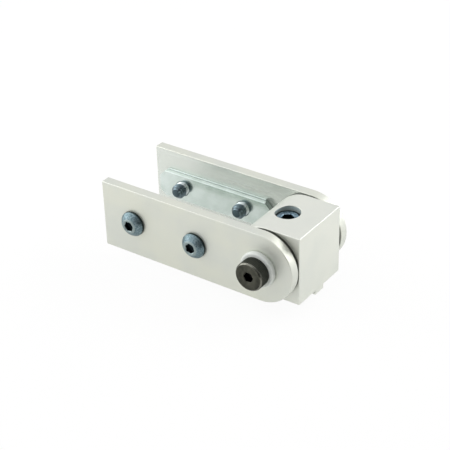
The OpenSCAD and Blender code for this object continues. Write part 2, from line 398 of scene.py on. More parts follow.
def anodised(name, warm, cool, bored_and_shaded=False):
    """Satin alloy between two tones, with cutter marks, painted shade and a painted shadow ring for the
    block.
    """
    bench = new_finish(name)
    place = bench.place()
    drawn = bench.node("ShaderNodeMapping", None, {"Vector": place, "Scale": drawn_scale})
    lines = bench.noise(drawn, 1.0)
    grit = bench.noise(place, 7000, 1.0)
    cloud = bench.noise(place, 45)
    inner = bench.mask("inner")
    colour = bench.blend(bench.between(cloud, 0.3, 0.7), warm, cool)
    # The inner faces of the arms are smoother, and painted paler and bluer as a painted lift of light.
    colour = bench.layers(colour, (inner * 0.6, "#dfe5e1"), (bench.mask("edge") * 0.1, "#f2f3ee"))
    metallic = 0.8 - 0.25 * bench.mask("cut") - 0.1 * inner
    roughness = 0.36 + 0.08 * grit + 0.06 * lines + 0.05 * cloud - 0.2 * inner
    height = grit * 0.6 + lines * 0.4
    if bored_and_shaded:
        axes = bench.axes(place)
        radius = bench.math("SQRT", axes["X"] * axes["X"] + axes["Y"] * axes["Y"])
        bored = (radius < cutter_reach) * bench.mask("bored")
        rings = bench.math("SINE", axes["Z"] * (2 * math.pi / cutter_feed))
        height = height + bored * rings * 1.5
        # Painted shade: the bore wall is darkened below the top of the fixing screw's head, in the gap round
        # it.
        bore_gap_shade = bored * bench.between(bore_shade_top - axes["Z"], -bore_shade_fade, 0.0)
        metallic = metallic - 0.4 * bored
        roughness = roughness - 0.1 * bored + 0.3 * bench.mask("mouth")
        # Painted shadow: a dark ring on the block's sides round the pivot, where the gap to the round ends of
        # the arms lies in shade.
        up = axes["Z"] - pivot_z
        reach = bench.math("SQRT", axes["X"] * axes["X"] + up * up)
        side_shade_ring = bench.between(reach, side_shade_inside, side_shade_inside + side_shade_fade) * (reach < side_shade_outside)
        side_gap_shade = side_shade_ring * bench.mask("side")
        colour = bench.layers(colour, (bored * 0.75, "#aebbba"), (bore_gap_shade * 0.9, "#2a3d43"))
        colour = bench.layers(colour, (side_gap_shade * 0.75, "#54564f"))
    normal = bench.bump(height, 0.004 * mm, 0.6)
    return surface(bench, Base_Color=colour, Metallic=metallic, Roughness=roughness, Normal=normal)


arm_alloy = anodised("satin_arm_alloy", "#dddfd3", "#d7dad2")
block_alloy = anodised("satin_block_alloy", "#e3e5dc", "#dde0d8", True)
print("alloys:", arm_alloy.name, block_alloy.name)

# %% [markdown]
# ## Zinc plate
# The T-nuts are bright zinc, smooth and a little green from passivation. Their corners were sawn off, and
# show the marks of the saw. The screws are zinc too, but thicker and bluer, with a fine crystalline speckle
# on the heads and darker metal at the tips. Their threads are painted a much paler zinc, a painted lift of
# light. The rims of the heads and the valleys of threads and knurls are darkened as painted shade, and the
# sockets are dark, partly from poor plating and partly as painted shade. Both are mirrors with a clouded
# colour, so noise varies the colour and the roughness a little, and masks change them where the metal was
# worked or where light and shade are painted.

# %% Bright zinc
saw_pitch = 1.2 * mm
first_saw_mark = 0.6 * mm


def bright_zinc(arm_back):
    """arm_back is the distance from the middle of the hinge to the arm face that a long nut lies against."""
    bench = new_finish("bright_zinc")
    place = bench.place()
    bath = bench.noise(place, 160, 3.0)
    spots = bench.noise(place, 2600)
    sawn = bench.mask("sawn")
    depth = arm_back - bench.math("ABSOLUTE", bench.axes(place)["Y"])
    saw_marks = bench.math("COSINE", (depth - first_saw_mark) * (2 * math.pi / saw_pitch))
    colour = bench.layers(
        bench.blend(bench.between(bath, 0.3, 0.7), "#ccd8d2", "#dbe5e1"),
        (bench.between(spots, 0.62, 0.75) * 0.35, "#a9bcb4"),
        (sawn * bench.between(saw_marks, -0.3, 0.5) * 0.9, "#36433d"),
    )
    roughness = 0.15 + 0.1 * bath + 0.06 * spots + 0.1 * bench.mask("edge") + 0.3 * sawn
    normal = bench.bump(bath * 0.5 + spots * 0.2, 0.01 * mm, 0.5)
    return surface(bench, Base_Color=colour, Metallic=1.0, Roughness=roughness, Normal=normal)


t_nut_zinc = bright_zinc(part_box("far_arm")[0].y)
print("T-nuts:", t_nut_zinc.name)


# %% Blue zinc
def blue_zinc(name, deep, pale):
    bench = new_finish(name)
    place = bench.place()
    crystals = bench.noise(place, 1300, 3.0)
    bath = bench.noise(place, 300)
    thread = bench.mask("thread")
    rim = bench.mask("rim")
    turning = bench.noise(bench.vector(X=bench.mask("turning")), 2600, 3.0)
    speckle = 0.4 * turning + 0.6 * crystals
    colour = bench.layers(
        bench.blend(bench.between(speckle, 0.4, 0.6), deep, pale),
        (bench.between(bath, 0.4, 0.7) * 0.35, "#66797a"),
        (bench.mask("edge") * 0.6, "#a3afac"),
        # Painted shade: the rims of the heads are darkened nearly to black.
        (rim * 0.93, "#2c3836"),
        # The thread is painted a much paler zinc than the heads, a painted lift of light for the bright
        # crescents it catches.
        (thread * 0.9, "#e4ecec"),
        (bench.mask("dark") * 0.94, "#5a6b72"),
        # Painted shade in the valleys of threads and knurls.
        (bench.mask("groove") * 0.55, "#20282b"),
        # The sockets are dark, partly from poor plating and partly as painted shade.
        (bench.mask("socket"), "#2c383d"),
    )
    roughness = 0.33 + 0.24 * speckle + 0.1 * rim - 0.2 * thread
    normal = bench.bump(speckle, 0.02 * mm, 0.7)
    return surface(bench, Base_Color=colour, Metallic=1.0, Roughness=roughness, Normal=normal)


screw_zinc = blue_zinc("blue_zinc", "#5c7077", "#8da0a6")
fixing_zinc = blue_zinc("pale_blue_zinc", "#5f7787", "#a3bac8")
print("screws:", screw_zinc.name, fixing_zinc.name)

# %% [markdown]
# ## Black oxide and white plastic
# The pivot screws are blackened in a hot oxide bath, which leaves a brown-black skin that wears thin on the
# edges. A mask on the bevel lets the steel show through there in patches, and lightens the whole bevel a
# little as a painted highlight. The knurled side, the valleys and the socket are darkened as painted shade.
# The bush is a white moulding with a faint sparkle in its skin.

# %% Black oxide and white moulding
def black_oxide():
    bench = new_finish("black_oxide")
    place = bench.place()
    skin = bench.noise(place, 420, 4.0)
    grain = bench.noise(place, 5200)
    edge = bench.mask("edge")
    wear = edge * bench.between(skin, 0.25, 0.6)
    colour = bench.layers(
        bench.blend(bench.between(skin, 0.3, 0.7), "#3f4037", "#54544a"),
        (bench.between(grain, 0.6, 0.75) * 0.6, "#706f62"),
        # Painted shade on the knurled side.
        (bench.mask("rim") * 0.5, "#353b36"),
        # Painted shade in the valleys of knurl and thread.
        (bench.mask("groove") * 0.6, "#1b1d19"),
        # Patchy wear on the bevel, and an even painted highlight over the whole bevel.
        (0.4 * edge + 0.5 * wear, "#7a7a71"),
        # Painted shade in the socket.
        (bench.mask("socket"), "#0c0d0b"),
    )
    roughness = 0.36 + 0.16 * skin - 0.2 * edge
    normal = bench.bump(grain * 0.6 + skin * 0.4, 0.012 * mm, 0.6)
    return surface(bench, Base_Color=colour, Metallic=0.85, Roughness=roughness, Normal=normal)


def white_moulding():
    bench = new_finish("white_moulding")
    place = bench.place()
    cloud = bench.noise(place, 180, 3.0)
    spark = bench.noise(place, 6000, 1.0)
    colour = bench.blend(bench.between(cloud, 0.3, 0.7), "#dce1db", "#e6eae4")
    roughness = 0.42 + 0.1 * spark
    normal = bench.bump(spark, 0.006 * mm, 0.5)
    return surface(bench, Base_Color=colour, Roughness=roughness, Normal=normal)


pivot_black = black_oxide()
bush_white = white_moulding()
print("other finishes:", pivot_black.name, bush_white.name)

# %% [markdown]
# ## Drawing outlines
# Nearly every piece here is either a flat plate or a turned part, so two builders are enough. Both start
# from an outline: a ring of corners, each with the radius that it is rounded to. Rounding belongs in the
# outline, because a real edge is never sharp and the thin bright line along it is what makes metal look
# solid.

# %% Outlines
arc_step = 0.6 * mm
facets_round = 96


def outline(corners):
    """Points round a closed shape, counter-clockwise, each with its direction out of the shape.
    A corner is x, y and the radius that it is rounded to."""
    points = []
    for index, (x, y, radius) in enumerate(corners):
        here = Vector((x, y))
        arriving = (here - Vector(corners[index - 1][:2])).normalized()
        leaving = (Vector(corners[(index + 1) % len(corners)][:2]) - here).normalized()
        first = Vector((arriving.y, -arriving.x))
        last = Vector((leaving.y, -leaving.x))
        turn = math.atan2(first.x * last.y - first.y * last.x, first.dot(last))
        bulge = math.copysign(radius, turn)
        centre = here - (first + last) * bulge / (1 + first.dot(last))
        steps = max(4, round(abs(turn) * radius / arc_step)) if radius else 0
        for step in range(steps + 1):
            angle = turn * (step / steps if steps else 0.5)
            out = Matrix.Rotation(angle, 2) @ first
            points.append((centre + out * bulge, out))
    return points


def circle(radius, facets=facets_round):
    """The outline of a disc."""
    turns = [2 * math.pi * facet / facets for facet in range(facets)]
    ways = [Vector((math.cos(turn), math.sin(turn))) for turn in turns]
    return [(way * radius, way) for way in ways]


print("a 4 mm circle has", len(circle(4 * mm)), "points")

# %% [markdown]
# ## Plates and turned parts
# `plate` stacks copies of an outline, drawn in a little near the faces so that the edges come out round.
# `turned` spins the outline of a half section round the Z axis, as a lathe would. Both give closed meshes
# with their faces outwards.

# %% Plates
def to_object(name, mesh, material):
    """Closes a bmesh into an object of that finish."""
    bmesh.ops.remove_doubles(mesh, verts=mesh.verts, dist=0.001 * mm)
    bmesh.ops.recalc_face_normals(mesh, faces=mesh.faces)
    data = bpy.data.meshes.new(name)
    mesh.to_mesh(data)
    mesh.free()
    data.materials.append(material)
    piece = bpy.data.objects.new(name, data)
    scene.collection.objects.link(piece)
    return piece


def band(mesh, low, high):
    """Quads between two rings of points."""
    return [mesh.faces.new((low[i - 1], low[i], high[i], high[i - 1])) for i in range(len(low))]


edge_steps = 5


def plate(name, shape, low, high, material, low_round=0.0, high_round=0.0):
    """A flat piece from z = low to high with rounded edges. The rounding gets an edge mask, and the
    straight sides between get a cut mask."""
    quarter = [math.pi / 2 * step / edge_steps for step in range(edge_steps + 1)]
    levels = [(low + low_round * (1 - math.cos(a)), low_round * (1 - math.sin(a))) for a in quarter]
    levels += [(high - high_round * (1 - math.cos(a)), high_round * (1 - math.sin(a))) for a in quarter[::-1]]
    mesh = bmesh.new()
    edge = mesh.faces.layers.float.new("edge")
    cut = mesh.faces.layers.float.new("cut")
    rings = [[mesh.verts.new((*(at - out * inset), z)) for at, out in shape] for z, inset in levels]
    for index, (lower, upper) in enumerate(zip(rings, rings[1:])):
        for face in band(mesh, lower, upper):
            face[cut] = float(index == len(quarter) - 1)
            face[edge] = 1 - face[cut]
    mesh.faces.new(rings[0][::-1])
    mesh.faces.new(rings[-1])
    return to_object(name, mesh, material)


print("a plate's edge is rounded in", edge_steps, "steps")


# %% Turned parts
def turned(name, section, material, facets=facets_round):
    """A half section, as radius and height, spun round the Z axis."""
    mesh = bmesh.new()
    ways = [out for at, out in circle(1, facets)]
    rings = [[mesh.verts.new((*(way * at.x), at.y)) for way in ways] for at, out in section]
    for index in range(len(rings)):
        band(mesh, rings[index - 1], rings[index])
    return to_object(name, mesh, material)


print("a turned part has", facets_round, "facets")

# %% [markdown]
# ## Carving and shading
# Holes and sockets are carved afterwards with the Boolean modifier, which is safe here because every piece
# is closed. The shading is finished with weighted normals, which keep the large faces flat up to the
# rounding. Masks are painted on the faces for the finishes to read.

# %% Carving
def settle(piece):
    """Applies a piece's modifiers, so that it is a plain mesh."""
    seen_by_blender = bpy.context.evaluated_depsgraph_get()
    old = piece.data
    piece.data = bpy.data.meshes.new_from_object(piece.evaluated_get(seen_by_blender))
    piece.data.name = piece.name
    piece.modifiers.clear()
    bpy.data.meshes.remove(old)
    return piece


def carve(piece, tool, operation="DIFFERENCE"):
    """Cuts the tool out of a piece, joins it on or keeps what both fill, and takes the tool away."""
    boolean = piece.modifiers.new("carve", "BOOLEAN")
    boolean.operation = operation
    boolean.solver = "EXACT"
    boolean.object = tool
    settle(piece)
    bpy.data.objects.remove(tool)


print("ready to carve")

# %% Shading, masks and joining
crease_angle = math.radians(35)


def shade(piece, crease=crease_angle):
    """Smooth shading that keeps flat faces flat and breaks at edges sharper than the crease."""
    piece.data.shade_smooth()
    piece.data.set_sharp_from_angle(angle=crease)
    weighted = piece.modifiers.new("flat faces", "WEIGHTED_NORMAL")
    weighted.keep_sharp = True
    return settle(piece)


def paint_mask(piece, name, chosen):
    """Gives a piece a mask that is 1 on the faces for which chosen(centre) is true."""
    mask = piece.data.attributes.get(name) or piece.data.attributes.new(name, "FLOAT", "FACE")
    for polygon in piece.data.polygons:
        if chosen(polygon.center):
            mask.data[polygon.index].value = 1.0


def joined(name, pieces):
    """Several objects as one."""
    with bpy.context.temp_override(active_object=pieces[0], selected_editable_objects=pieces):
        bpy.ops.object.join()
    pieces[0].name = name
    return pieces[0]


print("ready to shade, mask and join")

# %% [markdown]
# ## Standing pieces on an arm
# Both arms are built the same way round: with z pointing out of the arm. One matrix then stands such a
# piece on the near or the far side. It is a turn and not a mirror image, so the threads stay right-handed.
# The sizes are read from the CAD boxes.

# %% Sizes from the frame
sides = {"near": -1, "far": 1}
arm_low, arm_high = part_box("far_arm")
arm_inner, arm_outer = arm_low.y, arm_high.y
arm_t = arm_outer - arm_inner
round_r = arm_high.x
edge_round = 0.45 * mm


def standing(side, x, out):
    """The place of a piece on an arm, at a distance along the arm and a distance out from the middle."""
    sign = sides[side]
    return Matrix.Translation((x, sign * out, pivot_z)) @ Matrix.Rotation(-sign * math.pi / 2, 4, "X")


def hand_over(piece, body, slot, *nodes):
    """Lets a piece ride on a body in place of its CAD nodes."""
    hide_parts(*nodes)
    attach(piece, body)
    print(piece.name, "stands for", *nodes, "with", len(piece.data.polygons), "faces")


print("arm", round(arm_t / mm, 2), "mm thick, pivot at", round(pivot_z / mm, 2), "mm")

# %% [markdown]
# ## The arms
# Each arm is a flat bar with a round end about the pivot and a square end, drilled for the bush and two
# screws. Its outline is a rectangle whose two front corners are rounded by the full half height. The
# drilled holes are carved with plain discs, because heads, bush and T-nut cover their edges.

# %% Arms
screw_x = [sum(corner.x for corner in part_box(f"far_{row}_screw")) / 2 for row in ("front", "rear")]
sleeve_r = 7 * mm
screw_hole_r = 4.4 * mm
hair = 0.01 * mm


def arm(side):
    bar = outline([
        (arm_low.x, -round_r, edge_round), (round_r, -round_r, round_r), (round_r, round_r, round_r),
        (arm_low.x, round_r, edge_round),
    ])
    piece = plate(f"{side}_bar", bar, 0, arm_t, arm_alloy, edge_round, edge_round)
    drills = [(0, sleeve_r)] + [(x, screw_hole_r) for x in screw_x]
    for x, radius in drills:
        drill = plate("drill", circle(radius), -arm_t, 2 * arm_t, arm_alloy)
        drill.data.transform(Matrix.Translation((x, 0, 0)))
        carve(piece, drill)
    # The inner mask makes the inner face smoother, and paler and bluer as a painted lift of light.
    paint_mask(piece, "inner", lambda at: at.z < hair)
    shade(piece)
    piece.data.transform(standing(side, 0, arm_inner))
    hand_over(piece, f"{side}_leaf", "anodised_arm", f"{side}_arm")


for side in sides:
    arm(side)

# %% [markdown]
# ## The block
# The block is a short length of square bar with its upper back rounded about the pivot, so that it clears
# the end of the clamped profile. A key under it runs in the profile's slot, and a counterbore takes the
# head of the fixing screw. The outline is drawn from the side, stacked across the width, and the key and
# the bore follow.

# %% Block
block_low, block_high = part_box("pivot_block")
block_half = block_high.y
key_half = 3.9 * mm
key_round = 0.2 * mm
cap_low, cap_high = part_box("base_screw")
cap_r = cap_high.x
cap_h = 8 * mm
cap_gap = 0.3 * mm
bore_r = cap_r + cap_gap
bore_reach = 1.01 * bore_r
bore_mouth = 0.3 * mm
seat_z = cap_high.z - cap_h
mouth_low = block_high.z - 0.9 * bore_mouth
mouth_high = block_high.z - 0.1 * bore_mouth
overlap = 1 * mm


def off_axis(at):
    """How far a point is from the Z axis."""
    return math.hypot(at.x, at.y)


def on_mouth(at):
    """Whether a point is on the bevel at the mouth of the bore."""
    return off_axis(at) < bore_r + bore_mouth and mouth_low < at.z < mouth_high


side_view = outline([
    (block_low.x, 0, edge_round), (block_high.x, 0, edge_round), (block_high.x, block_high.z, edge_round),
    (block_low.x, block_high.z, round_r),
])
block = plate("keyed_block", side_view, -block_half, block_half, block_alloy, edge_round, edge_round)
block.data.transform(Matrix.Rotation(math.pi / 2, 4, "X"))
key_plan = outline([
    (block_low.x + edge_round, -key_half, key_round), (block_high.x, -key_half, key_round),
    (block_high.x, key_half, key_round), (block_low.x + edge_round, key_half, key_round),
])
carve(block, plate("key", key_plan, block_low.z, overlap, block_alloy, key_round), "UNION")
bore = turned("bore", outline([
    (0, block_low.z - overlap, 0), (screw_hole_r, block_low.z - overlap, 0), (screw_hole_r, seat_z, 0),
    (bore_r, seat_z, 0), (bore_r, block_high.z - bore_mouth, 0),
    (bore_r + 2 * bore_mouth, block_high.z + bore_mouth, 0), (0, block_high.z + bore_mouth, 0),
]), block_alloy)
carve(block, bore)
# The bored mask carries the cutter marks and the painted shade in the gap round the fixing screw.
paint_mask(block, "bored", lambda at: off_axis(at) < bore_reach and at.z > seat_z - overlap)
# The side mask carries the painted shadow ring round the pivot.
paint_mask(block, "side", lambda at: abs(at.y) > block_half - hair)
paint_mask(block, "mouth", on_mouth)
shade(block)
hand_over(block, "base", "anodised_block", "pivot_block")

# %% [markdown]
# ## Bushes and washers
# A flanged bush lines each arm's bore, so that the arm turns on plastic and not on bare steel, and a thrust
# washer keeps it off the block. Both are simple turned rings. Their rims are well rounded, as on any
# moulding.

# %% Bushes and washers
bush_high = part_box("far_flange_bush")[1]
bush_facets = 128
shoulder_bore_r = 5.05 * mm
flange_r = bush_high.x
flange_t = bush_high.y - arm_outer
flange_round = 1.3 * mm
flange_foot_round = 0.7 * mm
moulding_round = 0.3 * mm


def bush(side):
    section = outline([
        (shoulder_bore_r, -arm_t, moulding_round), (sleeve_r, -arm_t, moulding_round), (sleeve_r, 0, 0),
        (flange_r, 0, flange_foot_round), (flange_r, flange_t, flange_round),
        (shoulder_bore_r, flange_t, moulding_round),
    ])
    piece = shade(turned(f"{side}_bush", section, bush_white, bush_facets))
    piece.data.transform(standing(side, 0, arm_outer))
    hand_over(piece, f"{side}_leaf", "white_bush", f"{side}_flange_bush")


def washer(side):
    low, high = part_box("far_thrust_washer")
    thickness = high.y - low.y
    section = outline([
        (shoulder_bore_r, 0, moulding_round), (high.x, 0, moulding_round),
        (high.x, thickness, moulding_round), (shoulder_bore_r, thickness, moulding_round),
    ])
    piece = shade(turned(f"{side}_washer", section, bush_white))
    piece.data.transform(standing(side, 0, low.y))
    hand_over(piece, "base", "white_bush", f"{side}_thrust_washer")


for side in sides:
    bush(side)
    washer(side)

# %% [markdown]
# ## The section of a T-nut
# A T-nut is a length of drawn steel bar that slides along the profile's slot and bears under its lips. The
# long ones have a gently crowned open face with small rounded edges, slightly tapered sides, and a wider
# shoulder next to the arm with a fine groove between, which shows as two thin lines along the nut. All of
# that is in the bar's section, so one half of it is drawn as an outline and the other half mirrors it.

# %% T-nut section
nut_low, nut_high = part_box("far_t_nut")
nut_half = (nut_high.z - nut_low.z) / 2
nut_t = nut_high.y - nut_low.y
rib_half = 3.9 * mm
rib_h = 1.3 * mm
nut_taper = 0.45 * mm
face_half = nut_half - nut_taper
crown_reach = 5.5 * mm
crown_depth = 0.3 * mm
crown_steps = 10
nut_edge_round = 0.4 * mm
nut_side = 0.6 * mm
groove_w = 0.25 * mm
groove_depth = 0.4 * mm
nut_back_round = 0.15 * mm
shoulder_reach = 0.5 * mm
shoulder_half = nut_half + shoulder_reach
shoulder_round = 0.4 * mm
shoulder_gap = 0.12 * mm


def nut_section(shouldered):
    """The bar's section, as distance across and height, with its open face at the bottom."""
    half = []
    for step in range(crown_steps + 1):
        share = step / crown_steps
        across = face_half - crown_reach * (1 - share)
        half += [(across, -nut_t + crown_depth * share ** 2, nut_edge_round * (share == 1))]
    half += [(nut_half, -rib_h - nut_side, nut_back_round)]
    if shouldered:
        half += [(nut_half, -rib_h - groove_w, 0), (nut_half - groove_depth, -rib_h - groove_w, 0)]
        half += [(nut_half - groove_depth, -rib_h, 0), (shoulder_half, -rib_h, shoulder_round)]
        half += [(shoulder_half, -shoulder_gap, 0), (rib_half, -shoulder_gap, 0)]
    else:
        half += [(nut_half, -rib_h, nut_back_round), (rib_half, -rib_h, 0)]
    half += [(rib_half, 0, 0)]
    return outline(half + [(-across, height, rounding) for across, height, rounding in half[::-1]])


print("a long nut's section has", len(nut_section(True)), "points")

# %% [markdown]
# ## The T-nuts
# The section is stacked along the bar as any plate is, and laid along X. The corners are sawn off, so that
# the nut can be slid in past a joint. An Intersect with one eight-sided plate, which leaves them out, cuts
# all four at once. The tapped holes are carved with turned tools, each with a countersunk mouth.

# %% T-nuts
base_nut_low, base_nut_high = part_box("base_t_nut")
nut_corner = 4.1 * mm
nut_end_round = 0.12 * mm
tapped_r = 4.05 * mm
tap_mouth = 0.5 * mm
laid_along_x = Matrix(((0, 0, 1, 0), (1, 0, 0, 0), (0, 1, 0, 0), (0, 0, 0, 1)))


def corner_cutter(length, spare=2 * mm):
    """What is left of a bar when its four corners are cut off."""
    along = length / 2 + spare
    across = nut_half + spare
    leg = nut_corner + 2 * spare
    quarter = [(along - leg, across), (along, across - leg)]
    corners = [(x, -y) for x, y in quarter] + quarter[::-1]
    corners += [(-x, y) for x, y in quarter] + [(-x, -y) for x, y in quarter[::-1]]
    return plate("corners", outline([(x, y, 0) for x, y in corners]), -2 * nut_t, spare, t_nut_zinc)


def t_nut(name, length, holes, shouldered=True):
    """A T-nut under z = 0, along X about the origin: its rib meets z = 0 and its flange hangs below."""
    half = length / 2
    piece = plate(name, nut_section(shouldered), -half, half, t_nut_zinc, nut_end_round, nut_end_round)
    piece.data.transform(laid_along_x)
    paint_mask(piece, "edge", lambda at: abs(at.y) > face_half - nut_edge_round and at.z < -rib_h)
    carve(piece, corner_cutter(length), "INTERSECT")
    corner_line = half + nut_half - nut_corner
    paint_mask(piece, "sawn", lambda at: abs(at.x) + abs(at.y) > corner_line - hair)
    for x in holes:
        tap = turned("tap", outline([
            (0, -nut_t - tap_mouth, 0), (tapped_r + 2 * tap_mouth, -nut_t - tap_mouth, 0),
            (tapped_r, -nut_t + tap_mouth, 0), (tapped_r, overlap, 0), (0, overlap, 0),
        ]), t_nut_zinc)
        tap.data.transform(Matrix.Translation((x, 0, 0)))
        carve(piece, tap)
    return shade(piece)


nut_middle = (nut_low.x + nut_high.x) / 2
for side in sides:
    nut = t_nut(f"{side}_double_nut", nut_high.x - nut_low.x, [x - nut_middle for x in screw_x])
    nut.data.transform(standing(side, nut_middle, arm_inner))
    hand_over(nut, f"{side}_leaf", "bright_zinc_steel", f"{side}_t_nut")
base_nut = t_nut("base_nut", base_nut_high.x - base_nut_low.x, [0], False)
base_nut.data.transform(Matrix.Translation((0, 0, base_nut_high.z)))
hand_over(base_nut, "base", "bright_zinc_steel", "base_t_nut")

# %% [markdown]
# ## Trees with named inputs
# Geometry Nodes make what repeats or follows a rule. Such a tree can sit on an empty object: it makes the
# mesh by itself, and its named inputs hold the sizes. Every tree here ends in Realize Instances and Set
# Material, so that the result is real faces in one finish. It is then turned into a plain mesh, which can
# be carved and joined like any other.

# %% Tree helpers
def tree_with_inputs(name, inputs):
    """A Geometry Nodes tree with named inputs, and the bench and the wire of its Group Input."""
    tree = bpy.data.node_groups.new(name, "GeometryNodeTree")
    for label, kind in inputs.items():
        tree.interface.new_socket(label, in_out="INPUT", socket_type=f"NodeSocket{kind}")
    tree.interface.new_socket("Geometry", in_out="OUTPUT", socket_type="NodeSocketGeometry")
    bench = Bench(tree)
    return tree, bench, bench.node("NodeGroupInput")


def end_tree(bench, geometry, finish):
    """Ends a tree with real meshes in one finish."""
    real = bench.node("GeometryNodeRealizeInstances", None, {"Geometry": geometry})
    dressed = bench.node("GeometryNodeSetMaterial", None, {"Geometry": real, "Material": finish})
    bench.node("NodeGroupOutput", None, {"Geometry": dressed})


def grown(name, tree, inputs, source=None):
    """A plain piece that a tree grows from these inputs, and from a source mesh if it takes one."""
    piece = bpy.data.objects.new(name, source or bpy.data.meshes.new(name))
    scene.collection.objects.link(piece)
    modifier = piece.modifiers.new("grow", "NODES")
    modifier.node_group = tree
    for socket in tree.interface.items_tree:
        if socket.in_out == "INPUT" and socket.name in inputs:
            modifier[socket.identifier] = inputs[socket.name]
    settle(piece)
    piece.data.materials.clear()
    piece.data.materials.append(inputs["Finish"])
    return piece


print("a tree takes named inputs and ends in real faces of one finish")

# %% [markdown]
# ## Threads and knurls from one rule
# A thread and a knurl are the same thing to a lathe hand: ridges that run round or along a rod, so one tree
# makes both. It takes a plain cylinder and moves each point in or out by a rule: ridges per metre along the
# rod plus ridges per turn round it give the place between two crests, and that place gives the depth. The
# two ends are bevelled by taking the lesser radius. Each screw sets its own sizes.

# %% Ridged rod tree
crest_share = 0.1


def ridged_rod_tree():
    tree, bench, given = tree_with_inputs("ridged_rod", {
        "Radius": "Float", "Length": "Float", "Ridge depth": "Float", "Ridges along": "Float",
        "Ridges around": "Float", "Low bevel": "Float", "Low bevel length": "Float", "High bevel": "Float",
        "Dark length": "Float", "Points around": "Int", "Points along": "Int", "Finish": "Material",
    })
    rod = bench.node("GeometryNodeMeshCylinder", None, {
        "Vertices": given["Points around"], "Side Segments": given["Points along"],
        "Radius": given["Radius"], "Depth": given["Length"],
    })
    at = bench.axes(bench.node("GeometryNodeInputPosition"))
    height = at["Z"] + given["Length"] * 0.5
    turn = bench.math("ARCTAN2", at["Y"], at["X"]) / (2 * math.pi)
    phase = bench.math("FRACT", height * given["Ridges along"] - turn * given["Ridges around"])
    valley = bench.between(bench.math("ABSOLUTE", phase * 2 - 1), crest_share, 1 - crest_share)
    radius = given["Radius"] - given["Ridge depth"] * valley
    slope = given["Low bevel"] / given["Low bevel length"]
    radius = bench.math("MINIMUM", radius, given["Radius"] - given["Low bevel"] + height * slope)
    radius = bench.math("MINIMUM", radius, given["Radius"] - given["High bevel"] + given["Length"] - height)
    share = radius / given["Radius"]
    moved = bench.vector(X=at["X"] * share, Y=at["Y"] * share, Z=height)
    # The groove mask marks the valleys, which the finishes darken as painted shade.
    masks = [("POINT", "groove", valley), ("FACE", "dark", height < given["Dark length"])]
    masks += [("FACE", "thread", rod["Side"])]
    shape = rod
    for domain, name, value in masks:
        kind = {"data_type": "FLOAT", "domain": domain}
        sockets = {"Geometry": shape, "Name": name, "Value": value}
        shape = bench.node("GeometryNodeStoreNamedAttribute", kind, sockets)
    shape = bench.node("GeometryNodeSetPosition", None, {"Geometry": shape, "Position": moved})
    end_tree(bench, shape, given["Finish"])
    return tree


ridged_rod = ridged_rod_tree()
print("ridged rod inputs:", [s.name for s in ridged_rod.interface.items_tree if s.in_out == "INPUT"])

# %% [markdown]
# ## Sockets and threads
# Every screw here has a hexagon socket with a lightly countersunk mouth and a drilled bottom, and a thread
# with a bevelled tip. Both are written once, as helpers for all the screws. The socket is carved out of the
# head, and the thread is grown by the tree above.

# %% Hexagon sockets
socket_share = 0.55
socket_corner = 0.12 * mm
mouth_reach = 0.1 * mm
mouth_depth = 0.3 * mm
mouth_rise = 0.25 * mm
drill_land = 0.2 * mm
drill_point = 0.6


def hex_socket(head, across_flats, top, turn=0.0):
    """Carves a hexagon socket into the top of a head, with a countersunk mouth and a drilled end."""
    corner_r = across_flats / math.sqrt(3)
    floor_at = top - socket_share * top
    finish = head.data.materials[0]
    mouth_r = corner_r + mouth_reach
    mouth = turned("mouth", outline([
        (0, top - mouth_depth, 0), (mouth_r - mouth_depth, top - mouth_depth, 0),
        (mouth_r + mouth_rise, top + mouth_rise, 0), (0, top + mouth_rise, 0),
    ]), finish)
    carve(head, mouth)
    points = [math.pi / 3 * corner + turn for corner in range(6)]
    hexagon = outline([(corner_r * math.cos(a), corner_r * math.sin(a), socket_corner) for a in points])
    carve(head, plate("hexagon", hexagon, floor_at, top + overlap, finish))
    drill_r = across_flats / 2
    drill = turned("drill", outline([
        (0, floor_at - drill_point * drill_r, 0), (drill_r, floor_at, 0), (drill_r, floor_at + drill_land, 0),
        (0, floor_at + drill_land, 0),
    ]), finish)
    carve(head, drill)
    # The socket mask darkens the socket in the finishes, partly as painted shade.
    paint_mask(head, "socket", lambda at: off_axis(at) < corner_r and at.z < top - mouth_depth - hair)


print("a socket goes", socket_share, "of the way through its head")

# %% Threads
thread_r = 4 * mm
thread_pitch = 1.25 * mm
thread_depth = 0.72 * mm
tip_bevel = 1.7 * mm
tip_bevel_l = 1.8 * mm
points_per_pitch = 10
points_round_thread = 64
thread_crease = math.radians(40)


def thread(length, finish, dark_length=0.0):
    """A threaded rod from z = 0 down to its tip, which may be dark for some way."""
    rod = grown("thread", ridged_rod, {
        "Radius": thread_r, "Length": length, "Ridge depth": thread_depth, "Ridges along": 1 / thread_pitch,
        "Ridges around": 1.0, "Low bevel": tip_bevel, "Low bevel length": tip_bevel_l, "High bevel": 0.0,
        "Dark length": dark_length, "Points around": points_round_thread,
        "Points along": round(length / thread_pitch * points_per_pitch), "Finish": finish,
    })
    rod.data.transform(Matrix.Translation((0, 0, -length)))
    return shade(rod, thread_crease)


print("thread", thread_pitch / mm, "mm pitch")

# %% [markdown]
# ## The screws in the arms
# Each arm is clamped by two button-head screws. The head is a shallow dome over a short straight rim. The
# arc of the dome is worked out from the rim and the flat top, and the half section is turned like any other
# part. An attribute holds each point's distance from the axis, so that the finish can follow the turning
# marks.

# %% Button-head screw
screw_low, screw_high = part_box("far_front_screw")
button_r = (screw_high.x - screw_low.x) / 2
button_h = screw_high.y - arm_outer
button_rim = 1.35 * mm
button_flat_r = 3.6 * mm
button_edge = 0.3 * mm
button_foot_round = 0.15 * mm
button_rim_round = 0.12 * mm
button_top_round = 0.15 * mm
button_key = 5 * mm
dome_steps = 14
shank_l = arm_outer - screw_low.y
dark_tip_l = 4.8 * mm


